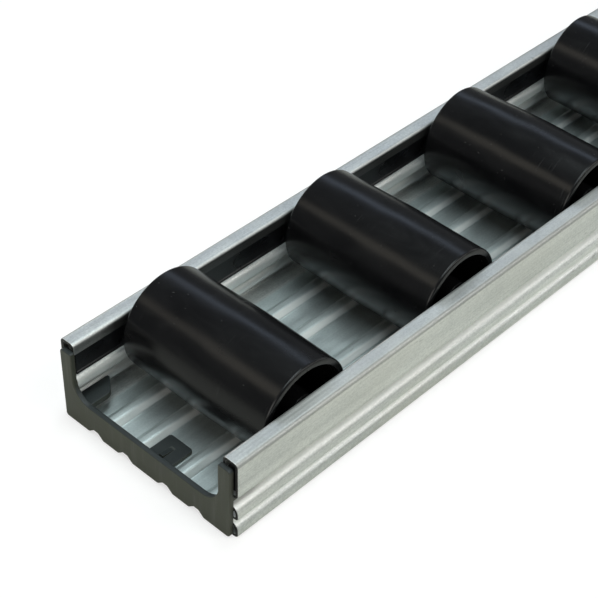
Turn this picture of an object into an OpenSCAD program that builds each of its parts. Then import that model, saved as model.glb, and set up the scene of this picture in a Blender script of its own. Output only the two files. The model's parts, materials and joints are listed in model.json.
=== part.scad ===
// Flow rack roller track: a roll-formed steel channel that carries a row of full-width
// plastic rollers. Each roller runs on a fixed steel axle, held at both ends by moulded
// axle holders that hook into each other along the channel, and a moulded cap closes each end.
// X runs across the track, Y along it and Z up. The origin is on the underside, at mid length.

/* [Track] */
// Number of rollers in this length of track
roller_count = 10; // [2:1:12]
// Spacing of the rollers along the track
pitch = 59; // [50:1:80]
// Distance of the first and the last axle from the ends of the channel
end_pitch = 29; // [27:1:40]

/* [Channel] */
// Outside width of the channel
channel_w = 62; // [58:0.5:80]
// Outside height of the channel
channel_h = 25; // [24.5:0.5:28]
// Thickness of the sheet
sheet_t = 1; // [0.8:0.1:1.1]
// Bend radius at the middle of the sheet
bend_r = 0.9; // [0.7:0.05:1.05]
// Bend radius along the outer edges, top and foot
edge_bend_r = 0.9; // [0.8:0.1:1.8]
// Bend radius between a top flange and its lip
lip_bend_r = 0.7; // [0.6:0.05:1.05]
// Width of each top flange, over its turned-down lip
flange_w = 5; // [4.6:0.1:5.6]
// Height of the turned-down lip
lip_h = 3.2; // [2.4:0.1:3.8]

/* [Folds in the side walls] */
// Height of the shelf that carries the axle holders
shelf_z = 14.5; // [14.2:0.1:14.7]
// Depth of the shelf, from the outside of the wall to its nose
shelf_depth = 5.6; // [5:0.1:5.8]
// Height of the shelf's nose, between its two bends
nose_h = 3.2; // [2.6:0.1:3.6]
// Fall of the fold's underside from the nose back to the wall
fold_fall = 1.3; // [0.6:0.1:1.6]
// Height of the lower side bead
bead_z = 7; // [6.8:0.1:7.4]
// Depth of the lower side bead, from the outside of the wall to its nose
bead_depth = 3.2; // [3.1:0.1:3.6]
// Height of the lower bead's nose, between its two bends
bead_nose_h = 1.9; // [1.8:0.1:2.2]
// Fall of the lower bead's underside from its nose back to the wall
bead_fall = 1; // [0.8:0.1:1.2]

/* [Ribs in the floor] */
// Distance of the outer pair of floor ribs from the middle
outer_rib_x = 18.1; // [17:0.1:19]
// Distance of the inner pair of floor ribs from the middle
inner_rib_x = 7.2; // [7.1:0.1:9]
// Width of a floor rib at its foot
rib_foot_w = 4.8; // [4:0.1:5]
// Width of a floor rib at its crest
rib_crest_w = 1.6; // [1.4:0.1:2.2]
// Rise of a floor rib
rib_h = 1.6; // [0.9:0.1:1.7]

/* [Rollers] */
// Diameter of a roller at the middle of its length
roller_mid_d = 30; // [27:0.1:30.4]
// Diameter of a roller at its ends
roller_end_d = 29; // [25:0.1:30]
// Radius that blends the two tapers of a roller's barrel at mid length
crown_r = 150; // [50:10:300]
// Gap between a roller's rim and the shelf's nose
roller_side_gap = 0.6; // [0.3:0.1:1]
// Height of the rollers' axles above the underside
axle_z = 17.8; // [17.7:0.1:18.2]
// Wall of the roller's shell at its rim
roller_wall = 1.7; // [1.2:0.1:2.4]
// Thickening of the shell from rim to web, which lets the mould's core draw
core_draft = 0.7; // [0.2:0.1:1.2]
// Thickness of the web at mid length
web_t = 2.2; // [1.6:0.1:4]
// Diameter of the hub
hub_d = 8.4; // [7.6:0.1:10]
// Diameter of the hub's running faces at the two ends
hub_face_d = 6.2; // [5.8:0.1:6.4]
// Gap between a hub's running face and the holders' foot rails
hub_gap = 0.3; // [0.2:0.05:0.6]
// Number of stiffening ribs on each side of the web
roller_rib_count = 6; // [3:1:8]
// Thickness of a stiffening rib
roller_rib_t = 1.2; // [0.8:0.1:1.6]
// Depth of the stiffening ribs below the rim
roller_rib_inset = 9; // [4:0.5:16]
// Radius of the rim's outer edge
rim_edge_r = 0.7; // [0.3:0.1:1]

/* [Axles] */
// Diameter of the axle
axle_d = 5; // [4:0.1:5.2]
// Radial clearance of the axle in its roller
running_clearance = 0.06; // [0.02:0.01:0.1]
// Radial clearance of the axle in its holders
seat_clearance = 0.03; // [0.01:0.01:0.06]
// Distance of the axle's ends from the wall
axle_end_gap = 0.4; // [0.2:0.1:1]
// Chamfer on the axle's ends
axle_chamfer = 0.4; // [0.2:0.1:0.8]

/* [Axle holders] */
// Clearance of a holder to the sheet around it
holder_clearance = 0.2; // [0.1:0.05:0.3]
// Distance of a holder's face behind the lip's inner face
face_back = 0.8; // [0.4:0.05:1.1]
// Height of the foot rail along a holder's face
foot_rail_h = 0.8; // [0.4:0.1:1.2]
// Distance that the foot rail stands out of the face
foot_rail_out = 0.2; // [0.1:0.05:0.25]
// Radius of the knob that hooks into the next holder
knob_r = 2; // [1.6:0.1:2.2]
// Distance of the knob's centre beyond its own holder
knob_reach = 0.5; // [0.3:0.1:1.4]
// Height of the knob above the shelf
knob_rise = 3.6; // [3:0.1:4.2]
// Gap between neighbouring holders, knob and socket alike
joint_gap = 0.15; // [0.1:0.05:0.3]
// Distance of the outermost holders from the ends of the channel
end_setback = 0.9; // [0.4:0.1:2]
// Diameter of the small round windows beside the axle
window_d = 1.4; // [0.8:0.1:1.6]
// Distance of those windows from the axle, along the track
window_y = 13.4; // [9:0.1:18]
// Height of those windows above the shelf
window_rise = 1.9; // [1.6:0.1:4]
// Depth of the pockets in a holder's back
pocket_depth = 1.6; // [0.8:0.1:2]
// Wall left around those pockets
pocket_wall = 1.2; // [1:0.1:1.6]

/* [End caps] */
// Thickness of the cap's plate
cap_t = 1.5; // [1.2:0.1:2.5]
// Distance of the plate's sides inside the channel's sides
cap_inset = 1.2; // [0.6:0.1:1.5]
// Narrowing of the plate from its top to its foot, on each side
cap_draft = 0.3; // [0:0.1:1]
// Distance of the plate's top below the channel's top
cap_drop = 2.1; // [1:0.1:2.5]
// Height of the plate's foot above the underside
cap_lift = 0.3; // [0.1:0.1:0.4]
// Width of the plate's legs at their top
cap_leg_w = 4.1; // [3.6:0.1:6]
// Height of the plate's base
cap_base_h = 8.6; // [8:0.1:9.5]
// Radius between base and legs
cap_fillet_r = 5.6; // [3:0.1:7]
// Radius of the plate's outer corners
cap_corner_r = 1; // [0.4:0.1:1.6]
// Clearance of the plate's notches to the floor ribs
notch_clearance = 0.2; // [0.05:0.05:0.3]
// Length of the cap's tongues, from the end of the channel
tongue_len = 11.2; // [8:0.1:12]
// Width of the middle tongue
mid_tongue_w = 8.2; // [6:0.1:8.6]
// Thickness of the middle tongue
mid_tongue_t = 1.1; // [0.9:0.1:1.4]
// Radius of the middle tongue's tips
tongue_tip_r = 0.9; // [0.4:0.1:2]
// Length of the slanted lead-in on the side tongues
tongue_lead = 3.6; // [2:0.1:5]
// Radius at the start of that lead-in
lead_r = 2.5; // [1:0.1:4]
// Width of the side tongues, which lie against the lower beads
side_tongue_w = 5.4; // [4:0.1:5.8]
// Thickness of the side tongues
side_tongue_t = 1.7; // [1.2:0.1:2.2]
// Height of the side tongues' top above the underside
side_tongue_z = 6.8; // [6:0.1:7]
// Width of the groove tongues, which lie outside, under the shelves
groove_tongue_w = 2.6; // [2:0.1:2.8]
// Thickness of the groove tongues
groove_tongue_t = 1; // [0.6:0.1:1.4]
// Clearance of the tongues to the sheet
tongue_clearance = 0.15; // [0.1:0.05:0.3]
// Rise of the wedge that snaps the middle tongue in
wedge_h = 0.7; // [0.3:0.1:1]
// Length of that wedge
wedge_len = 4.4; // [2:0.2:6]
// Width of that wedge
wedge_w = 1.4; // [0.8:0.1:3]
// Distance of the wedge's low end from the tongue's tip
wedge_setback = 2.8; // [1.5:0.1:4]

/* [Hidden] */
$fn = 48;
numbers = [for (i = [1:roller_count]) str(i < 10 ? "0" : "", i)];

track_len = (roller_count - 1) * pitch + 2 * end_pitch;
// Flats in a bend of the sheet, and in the moulded parts' fillets
bend_steps = 4;
fine_steps = 10;
// How far cuts run past the faces that they open
cut_over = 1;
// How deep joined solids run into each other
eps = 0.01;

// Middle of the sheet: where its walls, flanges and floor run
wall_x = channel_w / 2 - sheet_t / 2;
lip_x = channel_w / 2 - flange_w + sheet_t / 2;
flange_z = channel_h - sheet_t / 2;
floor_z = sheet_t / 2;
nose_x = channel_w / 2 - shelf_depth + sheet_t / 2;
shelf_mid_z = shelf_z - sheet_t / 2;
bead_nose_x = channel_w / 2 - bead_depth + sheet_t / 2;
bead_mid_z = bead_z - sheet_t / 2;
bead_foot_z = bead_mid_z - bead_nose_h;

// Faces that the moulded parts are set against
wall_in = channel_w / 2 - sheet_t;
lip_in = channel_w / 2 - flange_w;
lip_out = lip_in + sheet_t;
lip_foot_z = channel_h - lip_h;
flange_under = channel_h - sheet_t;
shelf_nose_in = channel_w / 2 - shelf_depth;
bead_nose_in = channel_w / 2 - bead_depth;

roller_len = 2 * (shelf_nose_in - roller_side_gap);
holder_face = lip_in + face_back;
holder_back = wall_in - holder_clearance;
hub_len = 2 * (holder_face - foot_rail_out - hub_gap);
axle_len = 2 * (wall_in - axle_end_gap);

function roller_y(i) = (i - (roller_count + 1) / 2) * pitch;
function reversed(list) = [for (i = [len(list) - 1:-1:0]) list[i]];
function unit(v) = v / norm(v);
function left_of(v) = [-v[1], v[0]];

// Corners of the sheet's middle line, [x, z, bend radius], from the right lip to the floor's middle
half_corners = concat(
    [
        [lip_x, lip_foot_z, 0],
        [lip_x, flange_z, lip_bend_r],
        [wall_x, flange_z, edge_bend_r],
        [wall_x, shelf_mid_z, bend_r],
        [nose_x, shelf_mid_z, bend_r],
        [nose_x, shelf_mid_z - nose_h, bend_r],
        [wall_x, shelf_mid_z - nose_h - fold_fall, bend_r],
        [wall_x, bead_mid_z, bend_r],
        [bead_nose_x, bead_mid_z, bend_r],
        [bead_nose_x, bead_foot_z, bend_r],
        [wall_x, bead_foot_z - bead_fall, bend_r],
        [wall_x, floor_z, edge_bend_r],
    ],
    [for (x = [outer_rib_x, inner_rib_x], p = floor_rib(x)) p]
);
sheet_corners = concat(half_corners, [for (p = reversed(half_corners)) [-p[0], p[1], p[2]]]);

// The four corners of one floor rib, from its outer foot to its inner foot
function floor_rib(x) = [
    [x + rib_foot_w / 2, floor_z, bend_r],
    [x + rib_crest_w / 2, floor_z + rib_h, bend_r],
    [x - rib_crest_w / 2, floor_z + rib_h, bend_r],
    [x - rib_foot_w / 2, floor_z, bend_r],
];

// Points along one face of a bend at corner c, between a and b; side is 1 for the left face, 0 for the middle
function bend(a, c, b, side, steps = bend_steps) =
    let (
        p = [c[0], c[1]],
        u = unit(p - [a[0], a[1]]),
        v = unit([b[0], b[1]] - p),
        turn = sign(cross(u, v)),
        angle = acos(u * v),
        start = p - u * c[2] * tan(angle / 2),
        centre = start + left_of(u) * turn * c[2],
        r = c[2] - turn * side * sheet_t / 2,
        first = atan2(start[1] - centre[1], start[0] - centre[0])
    )
    [for (k = [0:steps])
        let (t = first + turn * angle * k / steps)
        centre + r * [cos(t), sin(t)]];

// A closed outline from its corners, [x, y, radius]
function rounded(list, steps = bend_steps) =
    let (n = len(list))
    [for (i = [0:n - 1])
        each (list[i][2] > 0
            ? bend(list[(i + n - 1) % n], list[i], list[(i + 1) % n], 0, steps)
            : [[list[i][0], list[i][1]]])];

// One face of the whole sheet, square at both ends
function sheet_face(list, side) =
    let (
        n = len(list) - 1,
        head = unit([list[1][0] - list[0][0], list[1][1] - list[0][1]]),
        tail = unit([list[n][0] - list[n - 1][0], list[n][1] - list[n - 1][1]])
    )
    concat(
        [[list[0][0], list[0][1]] + left_of(head) * side * sheet_t / 2],
        [for (i = [1:n - 1], p = bend(list[i - 1], list[i], list[i + 1], side)) p],
        [[list[n][0], list[n][1]] + left_of(tail) * side * sheet_t / 2]
    );

// Draws a profile of the XZ plane and runs it along Y, from y0 to y1
module along_y(y0, y1) {
    translate([0, y1, 0])
        rotate([90, 0, 0])
            linear_extrude(y1 - y0)
                children();
}

// Stands a solid of revolution, drawn about Z, along X
module about_x() {
    rotate([0, 90, 0]) children();
}

module channel() {
    color([0.76, 0.78, 0.78])
        along_y(-track_len / 2, track_len / 2)
            polygon(concat(sheet_face(sheet_corners, 1), reversed(sheet_face(sheet_corners, -1))));
}

// Half of the roller's section, [radius, place along the axle], with its web at 0
module roller_section() {
    rim_r = roller_end_d / 2;
    mid_r = roller_mid_d / 2;
    hub_r = hub_d / 2;
    face_r = hub_face_d / 2;
    half = roller_len / 2;
    lower = [
        [0, -hub_len / 2, 0],
        [face_r, -hub_len / 2, 0],
        [face_r, -half, 0],
        [hub_r, -half + hub_r - face_r, 0],
        [hub_r + core_draft, -web_t / 2, 0],
        [mid_r - roller_wall - core_draft, -web_t / 2, 0],
        [rim_r - roller_wall, -half, 0],
        [rim_r, -half, rim_edge_r],
    ];
    upper = [for (p = reversed(lower)) [p[0], -p[1], p[2]]];
    polygon(rounded(concat(lower, [[mid_r, 0, crown_r]], upper)));
}

module roller(i) {
    rib_len = roller_len - 2 * roller_rib_inset;
    color([0.10, 0.10, 0.11])
        translate([0, roller_y(i), axle_z])
            about_x()
                difference() {
                    union() {
                        rotate_extrude($fn = 96) roller_section();
                        for (k = [0:roller_rib_count - 1])
                            rotate([0, 0, 360 * k / roller_rib_count])
                                translate([hub_d / 2 - eps, -roller_rib_t / 2, -rib_len / 2])
                                    cube([
                                        (roller_end_d - hub_d) / 2 - roller_wall + 2 * eps,
                                        roller_rib_t,
                                        rib_len
                                    ]);
                    }
                    cylinder(h = hub_len + 2 * cut_over, d = axle_d + 2 * running_clearance, center = true);
                }
}

module axle(i) {
    half = axle_len / 2;
    color([0.72, 0.73, 0.75])
        translate([0, roller_y(i), axle_z])
            about_x()
                rotate_extrude()
                    polygon([
                        [0, -half],
                        [axle_d / 2 - axle_chamfer, -half],
                        [axle_d / 2, -half + axle_chamfer],
                        [axle_d / 2, half - axle_chamfer],
                        [axle_d / 2 - axle_chamfer, half],
                        [0, half],
                    ]);
}

// Section of a right-hand axle holder: it sits on the shelf and reaches up behind the lip
module holder_section() {
    corner = bend_r;
    polygon([
        [holder_face - foot_rail_out, shelf_z],
        [holder_back - corner, shelf_z],
        [holder_back, shelf_z + corner],
        [holder_back, flange_under - holder_clearance - corner],
        [holder_back - corner, flange_under - holder_clearance],
        [lip_out + holder_clearance, flange_under - holder_clearance],
        [lip_out + holder_clearance, lip_foot_z - holder_clearance],
        [holder_face, lip_foot_z - holder_clearance],
        [holder_face, shelf_z + foot_rail_h],
        [holder_face - foot_rail_out, shelf_z + foot_rail_h - foot_rail_out],
    ]);
}

// A round bar along X, through the holders, at a place along the track and a height
module cross_bar(y, z, d, x0, x1) {
    translate([x0, y, z])
        about_x()
            cylinder(h = x1 - x0, d = d);
}

// A right-hand axle holder. It hooks a knob into the holder in front, and takes the next one's knob
module axle_holder(i) {
    is_first = i == 1;
    is_last = i == roller_count;
    front = is_first ? end_setback - end_pitch : (joint_gap - pitch) / 2;
    back = is_last ? end_pitch - end_setback : (pitch - joint_gap) / 2;
    knob_z = shelf_z + knob_rise;
    cut_x0 = holder_face - cut_over;
    cut_x1 = holder_back + cut_over;
    pocket_y0 = axle_d / 2 + pocket_wall;
    pocket_y1 = pitch / 2 - knob_reach - knob_r - joint_gap - pocket_wall;
    pocket_z0 = shelf_z + pocket_wall;
    pocket_z1 = lip_foot_z - holder_clearance - pocket_wall;
    color([0.07, 0.07, 0.08])
        translate([0, roller_y(i), 0])
            difference() {
                union() {
                    along_y(front, back) holder_section();
                    if (!is_first)
                        cross_bar(-pitch / 2 - knob_reach, knob_z, 2 * knob_r, holder_face, holder_back);
                }
                if (!is_last)
                    cross_bar(pitch / 2 - knob_reach, knob_z, 2 * (knob_r + joint_gap), cut_x0, cut_x1);
                cross_bar(0, axle_z, axle_d + 2 * seat_clearance, cut_x0, cut_x1);
                for (side = [-1, 1]) {
                    cross_bar(side * window_y, shelf_z + window_rise, window_d, cut_x0, cut_x1);
                    translate([
                        holder_back - pocket_depth,
                        side > 0 ? pocket_y0 : -pocket_y1,
                        pocket_z0
                    ])
                        cube([pocket_depth + cut_over, pocket_y1 - pocket_y0, pocket_z1 - pocket_z0]);
                }
            }
}

// Half width of the cap's plate at a height, with its draft
function cap_half_w(z) = channel_w / 2 - cap_inset - cap_draft * (channel_h - cap_drop - z) / (channel_h - cap_drop);

// Outline of the cap's plate, in the XZ plane: a U with notches that follow the floor ribs
module cap_outline() {
    top = channel_h - cap_drop;
    leg_in = cap_half_w(top) - cap_leg_w;
    base_z = cap_lift + cap_base_h;
    right = [
        [cap_half_w(cap_lift), cap_lift, cap_corner_r],
        [cap_half_w(top), top, cap_corner_r],
        [leg_in, top, 0],
        [leg_in, base_z, cap_fillet_r],
    ];
    left = [for (p = reversed(right)) [-p[0], p[1], p[2]]];
    difference() {
        polygon(rounded(concat(right, left), fine_steps));
        for (side = [-1, 1], x = [outer_rib_x, inner_rib_x])
            translate([side * x, 0])
                polygon([
                    [-rib_foot_w / 2 - notch_clearance, -cut_over],
                    [-rib_foot_w / 2 - notch_clearance, cap_lift],
                    [-rib_crest_w / 2, rib_h + notch_clearance],
                    [rib_crest_w / 2, rib_h + notch_clearance],
                    [rib_foot_w / 2 + notch_clearance, cap_lift],
                    [rib_foot_w / 2 + notch_clearance, -cut_over],
                ]);
    }
}

// A flat tongue from the plate's middle along -Y, given its corners in the XY plane
module tongue(corners, t, z_top) {
    translate([0, 0, z_top - t])
        linear_extrude(t)
            polygon(rounded(corners, fine_steps));
}

// Corners of a right-hand tongue. Its tip is against x_tip, and slants back from there to x_cut
function slanted(x_cut, x_tip) =
    let (tip = x_tip + sign(x_cut - x_tip) * tongue_tip_r)
    [
        [x_tip, cap_t / 2, 0],
        [x_tip, -tongue_len, 0],
        [tip, -tongue_len, 0],
        [x_cut, -tongue_len + tongue_lead, lead_r],
        [x_cut, cap_t / 2, 0],
    ];

// The rear cap, with its tongues reaching forwards: one on the floor, two inside against the lower
// beads and two outside in the grooves under the shelves
module end_cap() {
    mid_top = sheet_t + tongue_clearance + mid_tongue_t;
    side_x = bead_nose_in - tongue_clearance;
    groove_z = shelf_z - sheet_t - tongue_clearance;
    groove_x = cap_half_w(groove_z - groove_tongue_t);
    color([0.31, 0.32, 0.29])
        translate([0, track_len / 2, 0]) {
            along_y(0, cap_t) cap_outline();
            tongue([
                [mid_tongue_w / 2, cap_t / 2, 0],
                [mid_tongue_w / 2, -tongue_len, tongue_tip_r],
                [-mid_tongue_w / 2, -tongue_len, tongue_tip_r],
                [-mid_tongue_w / 2, cap_t / 2, 0],
            ], mid_tongue_t, mid_top);
            for (side = [0, 1])
                mirror([side, 0, 0]) {
                    tongue(slanted(side_x - side_tongue_w, side_x), side_tongue_t, side_tongue_z);
                    tongue(slanted(groove_x, groove_x - groove_tongue_w), groove_tongue_t, groove_z);
                }
            // Wedge on the middle tongue: it rises towards the plate
            translate([-wedge_w / 2, wedge_setback - tongue_len, mid_top - eps])
                rotate([90, 0, 90])
                    linear_extrude(wedge_w)
                        polygon([[0, 0], [wedge_len, 0], [wedge_len, wedge_h]]);
        }
}

channel();
rotate([0, 0, 180]) end_cap();  // front_end_cap
end_cap();  // rear_end_cap
for (i = [1:roller_count]) {
    roller(i);
    axle(i);
    mirror([1, 0, 0]) axle_holder(i);
    axle_holder(i);
}
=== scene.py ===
"""Looks of the flow rack roller track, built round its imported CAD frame. Metres, X across, Y along, Z up."""

import json
import math

import bmesh
import bpy
from mathutils import Matrix, Vector

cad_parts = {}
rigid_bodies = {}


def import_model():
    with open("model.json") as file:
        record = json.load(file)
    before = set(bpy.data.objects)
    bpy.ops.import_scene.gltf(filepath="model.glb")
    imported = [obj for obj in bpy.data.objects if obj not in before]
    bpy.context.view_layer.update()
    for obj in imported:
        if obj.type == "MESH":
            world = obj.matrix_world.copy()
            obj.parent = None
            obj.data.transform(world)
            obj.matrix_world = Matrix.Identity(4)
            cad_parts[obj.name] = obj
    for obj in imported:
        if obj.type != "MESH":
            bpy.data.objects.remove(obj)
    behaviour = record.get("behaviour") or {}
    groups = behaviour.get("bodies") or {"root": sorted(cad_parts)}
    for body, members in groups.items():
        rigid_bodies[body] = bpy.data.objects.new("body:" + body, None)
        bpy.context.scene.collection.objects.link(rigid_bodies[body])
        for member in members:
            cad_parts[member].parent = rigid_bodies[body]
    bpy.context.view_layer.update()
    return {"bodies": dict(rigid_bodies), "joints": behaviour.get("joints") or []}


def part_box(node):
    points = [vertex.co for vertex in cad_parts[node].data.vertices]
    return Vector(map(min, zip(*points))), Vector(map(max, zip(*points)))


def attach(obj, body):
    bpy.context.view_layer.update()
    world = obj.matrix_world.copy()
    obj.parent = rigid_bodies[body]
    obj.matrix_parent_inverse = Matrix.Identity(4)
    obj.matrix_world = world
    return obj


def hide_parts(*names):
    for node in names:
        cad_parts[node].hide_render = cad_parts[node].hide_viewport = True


MM = 0.001
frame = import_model()
scene = bpy.context.scene


# ---------------------------------------------------------------- places, read from the CAD frame

channel_low, channel_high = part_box("channel")
HALF_LEN = channel_high.y
HALF_W = channel_high.x
TOP = channel_high.z
roller_bodies = sorted(name for name in frame["bodies"] if name.startswith("roller_"))
spin = {j["child"]: Vector(j["pos_m"]) for j in frame["joints"]}
PITCH = abs(spin[roller_bodies[1]].y - spin[roller_bodies[0]].y)
END_PITCH = HALF_LEN - abs(spin[roller_bodies[0]].y)
AXLE_Z = spin[roller_bodies[0]].z
HUB_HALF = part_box("roller_01")[1].x
AXLE_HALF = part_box("axle_01")[1].x


# ---------------------------------------------------------------- the sheet's section

# Sizes as in the part's source, which has one bend radius where the folds here have their own
SHEET = 1.0 * MM
BEND_R = 0.9 * MM
EDGE_R = 0.9 * MM
LIP_BEND_R = 0.7 * MM
UNDER_BEND_R = 0.6 * MM
NOSE_BEND_R = 1.3 * MM
FOLD_BEND_R = 2.2 * MM
BEAD_BEND_R = 1.8 * MM
FLANGE_W = 5.0 * MM
LIP_H = 3.2 * MM
SHELF_Z = 14.5 * MM
SHELF_DEPTH = 5.6 * MM
NOSE_H = 3.2 * MM
FOLD_FALL = 1.3 * MM
BEAD_Z = 7.0 * MM
BEAD_DEPTH = 3.2 * MM
BEAD_NOSE_H = 1.9 * MM
BEAD_FALL = 1.0 * MM
RIB_XS = (18.1 * MM, 7.2 * MM)
RIB_FOOT = 4.8 * MM
RIB_CREST = 1.6 * MM
RIB_H = 1.6 * MM

# Places that follow from them
NOSE_X = HALF_W - SHELF_DEPTH
LIP_X = HALF_W - FLANGE_W
LIP_FOOT = TOP - LIP_H


# ---------------------------------------------------------------- outlines

def unit(v):
    return v / v.length


def left_of(v):
    return Vector((-v.y, v.x))


def arc(a, c, b, radius, offset, steps):
    """Points along one face of the bend at corner c, between a and b, offset to the line's left."""
    u, v = unit(c - a), unit(b - c)
    turn = 1 if u.cross(v) > 0 else -1
    angle = math.acos(max(-1, min(1, u.dot(v))))
    start = c - u * radius * math.tan(angle / 2)
    centre = start + left_of(u) * turn * radius
    first = math.atan2(start.y - centre.y, start.x - centre.x)
    angles = [first + turn * angle * k / steps for k in range(steps + 1)]
    return [centre + (radius - turn * offset) * Vector((math.cos(at), math.sin(at))) for at in angles]


def rounded(corners, steps=8):
    """A closed 2-D outline from its corners, (x, y, radius)."""
    points = [Vector(corner[:2]) for corner in corners]
    out = []
    for k, corner in enumerate(corners):
        radius = corner[2]
        if radius > 0:
            out += arc(points[k - 1], points[k], points[(k + 1) % len(points)], radius, 0, steps)
        else:
            out.append(points[k])
    return out


def mirrored(corners):
    """The corners' mirror images across x = 0, in reverse order."""
    return [(-x, y, radius) for x, y, radius in reversed(corners)]


def disc(x, y, radius, steps):
    """A circle as a closed 2-D outline."""
    angles = [2 * math.pi * k / steps for k in range(steps)]
    return [Vector((x + radius * math.cos(at), y + radius * math.sin(at))) for at in angles]


def rectangle(x_low, x_high, y_low, y_high):
    """A rectangle as a closed 2-D outline."""
    return [Vector(p) for p in ((x_low, y_low), (x_high, y_low), (x_high, y_high), (x_low, y_high))]


def inset(outline, distance):
    """A closed outline moved inwards by a distance, along the mean normal at each point."""
    count = len(outline)
    area = sum(outline[k - 1].cross(outline[k]) for k in range(count))
    turn = 1 if area > 0 else -1
    out = []
    for k in range(count):
        before = left_of(unit(outline[k] - outline[k - 1])) * turn
        after = left_of(unit(outline[(k + 1) % count] - outline[k])) * turn
        mean = before + after
        out.append(outline[k] + mean * (2 * distance / mean.length_squared))
    return out


# ---------------------------------------------------------------- meshes and pieces

# Degrees by which an edge has to bend to be a crease, the wide one for the sheet and the holders
CREASE = 35
WIDE_CREASE = 40


def lifted(p, axis, at):
    """A point of a 2-D outline, set at a place on the axis that the outline faces."""
    return {"x": (at, p.x, p.y), "y": (p.x, at, p.y), "z": (p.x, p.y, at)}[axis]


def add_skin(bm, rings):
    """Adds the faces between each closed ring of vertices and the next."""
    for a, b in zip(rings, rings[1:]):
        for k in range(len(a)):
            j = (k + 1) % len(a)
            bm.faces.new((a[k], a[j], b[j], b[k]))


def add_prism(bm, outline, axis, low, high, holes=()):
    """Adds a prism of a 2-D outline, between low and high on its axis, with through holes."""
    edges = {low: [], high: []}
    for loop in [outline, *holes]:
        rings = {at: [bm.verts.new(lifted(p, axis, at)) for p in loop] for at in (low, high)}
        add_skin(bm, [rings[low], rings[high]])
        for at, ring in rings.items():
            edges[at] += [bm.edges.get((a, b)) for a, b in zip(ring, ring[1:] + ring[:1])]
    for at in (low, high):
        if holes:
            bmesh.ops.triangle_fill(bm, use_beauty=True, use_dissolve=True, edges=edges[at])
        else:
            bmesh.ops.contextual_create(bm, geom=edges[at])


def add_rounded_prism(bm, outline, axis, low, high, edge, steps=3):
    """Adds a prism of a 2-D outline, with quarter-round edges at both of its ends."""
    angles = [math.pi / 2 * (1 - k / steps) for k in range(steps + 1)]
    curve = [(edge - edge * math.sin(at), edge - edge * math.cos(at)) for at in angles]
    stations = [(low + rise, into) for rise, into in curve]
    stations += [(high - rise, into) for rise, into in reversed(curve)]
    rings = [[bm.verts.new(lifted(p, axis, at)) for p in inset(outline, into)] for at, into in stations]
    add_skin(bm, rings)
    bm.faces.new(rings[0])
    bm.faces.new(rings[-1])


def add_lathe(bm, section, steps):
    """Adds a solid of revolution about X from a closed outline, whose Y is the radius."""
    angles = [2 * math.pi * k / steps for k in range(steps)]
    rings = [[bm.verts.new((p.x, p.y * math.sin(at), p.y * math.cos(at))) for at in angles] for p in section]
    add_skin(bm, rings + rings[:1])


def add_softened(bm, part, edge):
    """Rounds the edges of a small part, then adds it to bm."""
    bmesh.ops.recalc_face_normals(part, faces=part.faces)
    bmesh.ops.bevel(
        part, geom=part.edges[:], offset=edge, segments=2, affect="EDGES", profile=0.5, clamp_overlap=True,
    )
    mesh = bpy.data.meshes.new("part")
    part.to_mesh(mesh)
    part.free()
    bm.from_mesh(mesh)
    bpy.data.meshes.remove(mesh)


def mesh_from(bm, name, materials, crease=CREASE):
    """Turns bm into a mesh that is shaded smooth between its creases."""
    mesh = bpy.data.meshes.new(name)
    bmesh.ops.recalc_face_normals(bm, faces=bm.faces)
    bm.to_mesh(mesh)
    bm.free()
    for material in materials:
        mesh.materials.append(material)
    mesh.polygons.foreach_set("use_smooth", [True] * len(mesh.polygons))
    mesh.set_sharp_from_angle(angle=math.radians(crease))
    return mesh


def add_bevel(piece, width):
    """Rounds the wide creases of a piece."""
    edges = piece.modifiers.new("edges", "BEVEL")
    edges.width = width
    edges.segments = 2
    edges.limit_method = "ANGLE"
    edges.angle_limit = math.radians(WIDE_CREASE)


def add_piece(name, mesh, body, node, place=(0, 0, 0), bevel=0.0):
    """Shows a mesh in place of a CAD node, on the node's body."""
    piece = bpy.data.objects.new(name, mesh)
    scene.collection.objects.link(piece)
    piece.location = place
    if bevel:
        add_bevel(piece, bevel)
    shading = piece.modifiers.new("shading", "WEIGHTED_NORMAL")
    shading.mode = "FACE_AREA"
    shading.weight = 80
    shading.keep_sharp = True
    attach(piece, body)
    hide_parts(node)


# ---------------------------------------------------------------- node helpers for the materials

PATTERN_SHIFT = 37.0


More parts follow.
